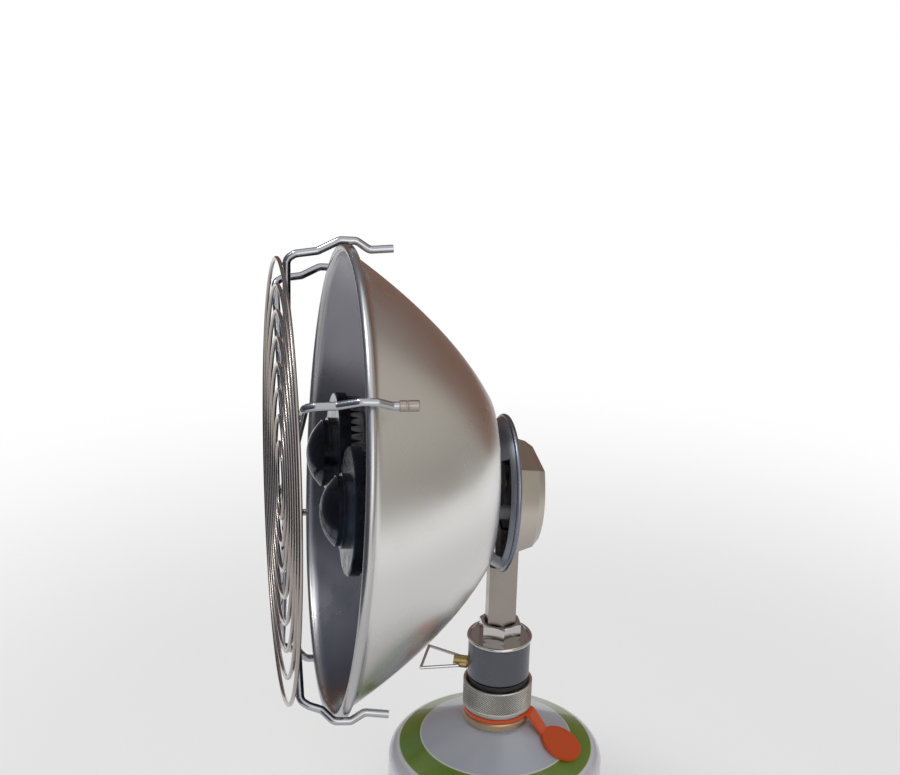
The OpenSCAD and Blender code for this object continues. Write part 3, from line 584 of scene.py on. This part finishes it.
def bowl_section():
    """The bowl's closed section (radius, depth) and how much painted shade each of its points takes. The
    inner face is depth = front + curve (1 - (r / edge)^2), the outer face lies one sheet further along its
    normal, and a circle round the roll's centre joins them at the edge."""
    edge = 0.1097
    front = 0.002
    curve = 0.083
    sheet = 0.0008
    flat_depth = 0.072
    r = np.linspace(0.0434, edge, 60)
    depth = front + curve * (1 - (r / edge) ** 2)
    slope = 2 * curve * r / edge ** 2
    length = np.sqrt(1 + slope ** 2)
    inner_face = np.stack([r, depth], axis=-1)
    outer_face = np.stack([r + sheet * slope / length, depth + sheet / length], axis=-1)[::-1]
    roll_centre = np.array([0.1116, 0.0022])
    roll_radius = 0.0024
    t = np.radians(np.linspace(-175, 110, 40))
    roll = roll_centre + roll_radius * np.stack([np.cos(t), np.sin(t)], axis=-1)
    flat_radii = np.array([0.0131, 0.03, 0.0425])
    flat_inside = np.stack([flat_radii, np.full(3, flat_depth)], axis=-1)
    flat_outside = np.stack([flat_radii, np.full(3, flat_depth + sheet)], axis=-1)[::-1]
    faces = [flat_inside, inner_face[:-1], roll, outer_face[2:], flat_outside]
    # Painted shade: the inner face takes the dark colour fully, the rolled edge half of it, the outer face
    # none.
    face_shade = [1.0, 1.0, 0.5, 0.0, 0.0]
    return np.concatenate(faces), np.repeat(face_shade, [len(face) for face in faces])


bright_metal = (0.7, 0.69, 0.675)
# Colour of the painted shade that the bowl's inner face takes in place of the bright metal.
inside_shade_colour = (0.25, 0.25, 0.28)
spun_aluminium, tree, shader = new_finish("spun_aluminium", bright_metal, metallic=1.0)
tone_by_attribute(tree, shader, "painted_inside_shade", bright_metal, inside_shade_colour)
place = tree.nodes.new("ShaderNodeTexCoord")
along_axis = tree.nodes.new("ShaderNodeVectorMath")
along_axis.operation = "DOT_PRODUCT"
along_axis.inputs[1].default_value = tuple(head_back)
lathe_lines = tree.nodes.new("ShaderNodeTexNoise")
lathe_lines.noise_dimensions = "1D"
lathe_lines.inputs["Scale"].default_value = 1800
lathe_lines.inputs["Detail"].default_value = 3
link(tree, place, "Object", along_axis, 0)
link(tree, along_axis, "Value", lathe_lines, "W")
add_bump(tree, shader, lathe_lines, "Fac", strength=0.07)
wear(tree, shader, 18, 0.22, 0.34)
bowl_turns = 256
bowl_profile, bowl_shade_amount = bowl_section()
bowl_mesh = grid_mesh("bowl", to_head(spun(bowl_profile, bowl_turns)), closed_along=True)
keep_attribute(bowl_mesh, "painted_inside_shade", np.tile(bowl_shade_amount, (bowl_turns, 1)))
bowl = new_piece(bowl_mesh, spun_aluminium, "heater", sharp=40)
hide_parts("reflector")

# Burners: pressed steel, dark and blued by heat. Each is a cup with V ports round its edge, a cap, a
# stepped collar and a dome, held by one screw into the manifold.
heat_steel, tree, shader = new_finish("heat_steel", (0.04, 0.042, 0.05), metallic=0.9)
heat_tint = tree.nodes.new("ShaderNodeValToRGB")
heat_tint.color_ramp.elements[0].color = (0.022, 0.021, 0.022, 1)
heat_tint.color_ramp.elements[1].color = (0.06, 0.075, 0.115, 1)
link(tree, add_uneven(tree, 45, 0.0, 1.0), "Value", heat_tint, "Fac")
link(tree, heat_tint, "Color", shader, "Base Color")
wear(tree, shader, 120, 0.16, 0.3)
port_steel = worn_finish("port_steel", (0.3, 0.3, 0.32), 1.0, 200, 0.22, 0.42)
for side in ("left", "right"):
    paint(heat_steel, side + "_burner_cap", side + "_burner_collar", side + "_burner_dome")
    paint(port_steel, side + "_burner_cup")
paint(handle_steel, "burner_screws")

# Guard: eight rings of bright wire welded on six bent arms of thicker wire, which clip over the bowl's
# rolled edge. The arm beside the camera ends in a short crimped sleeve of nickelled steel.
ring_wire = worn_finish("ring_wire", (0.38, 0.335, 0.31), 1.0, 60, 0.12, 0.28)
paint(ring_wire, "guard_rings")
arm_wire = worn_finish("arm_wire", (0.4, 0.405, 0.43), 1.0, 80, 0.1, 0.26)
paint(arm_wire, "guard_arms")


def sleeve_points(profile, turns, arm_angle, start, along):
    """A profile (radius, height) turned about a line in the arm's plane. The line goes from start along a
    unit direction, both as (reach from the bowl's axis, depth). A point lies at its height along the
    line, r cos b across it in the plane and r sin b out of the plane, which is turned to the arm's angle."""
    b = np.linspace(0, 2 * math.pi, turns, endpoint=False)[:, None]
    r = profile[None, :, 0]
    h = profile[None, :, 1]
    across = r * np.cos(b)
    outward = r * np.sin(b)
    reach = start[0] + h * along[0] + across * along[1]
    depth = start[1] + h * along[1] - across * along[0]
    turned = math.radians(arm_angle)
    return to_head(np.stack([reach * math.cos(turned) + outward * math.sin(turned),
                             -reach * math.sin(turned) + outward * math.cos(turned), depth], axis=-1))


near_arm_angle = 42
arm_tail_starts = np.array([0.1124, 0.011])
arm_tail = np.array([0.1, 1.1]) / math.hypot(0.1, 1.1)
sleeve_starts = arm_tail_starts + 0.003 * arm_tail
# The bore on the wire, and the outside with chamfered ends and one crimped waist.
sleeve_profile = np.array([(0.00193, 0.0), (0.00235, 0.0), (0.0025, 0.0002), (0.0025, 0.0028),
                           (0.0023, 0.0031), (0.0023, 0.0037), (0.0025, 0.004), (0.0025, 0.0082),
                           (0.0023, 0.0085), (0.00193, 0.0085)])
sleeve_mesh = grid_mesh("arm_sleeve", sleeve_points(sleeve_profile, turns=48, arm_angle=near_arm_angle,
                                                    start=sleeve_starts, along=arm_tail), closed_along=True)
sleeve = new_piece(sleeve_mesh, stem_nickel, "heater", sharp=30)
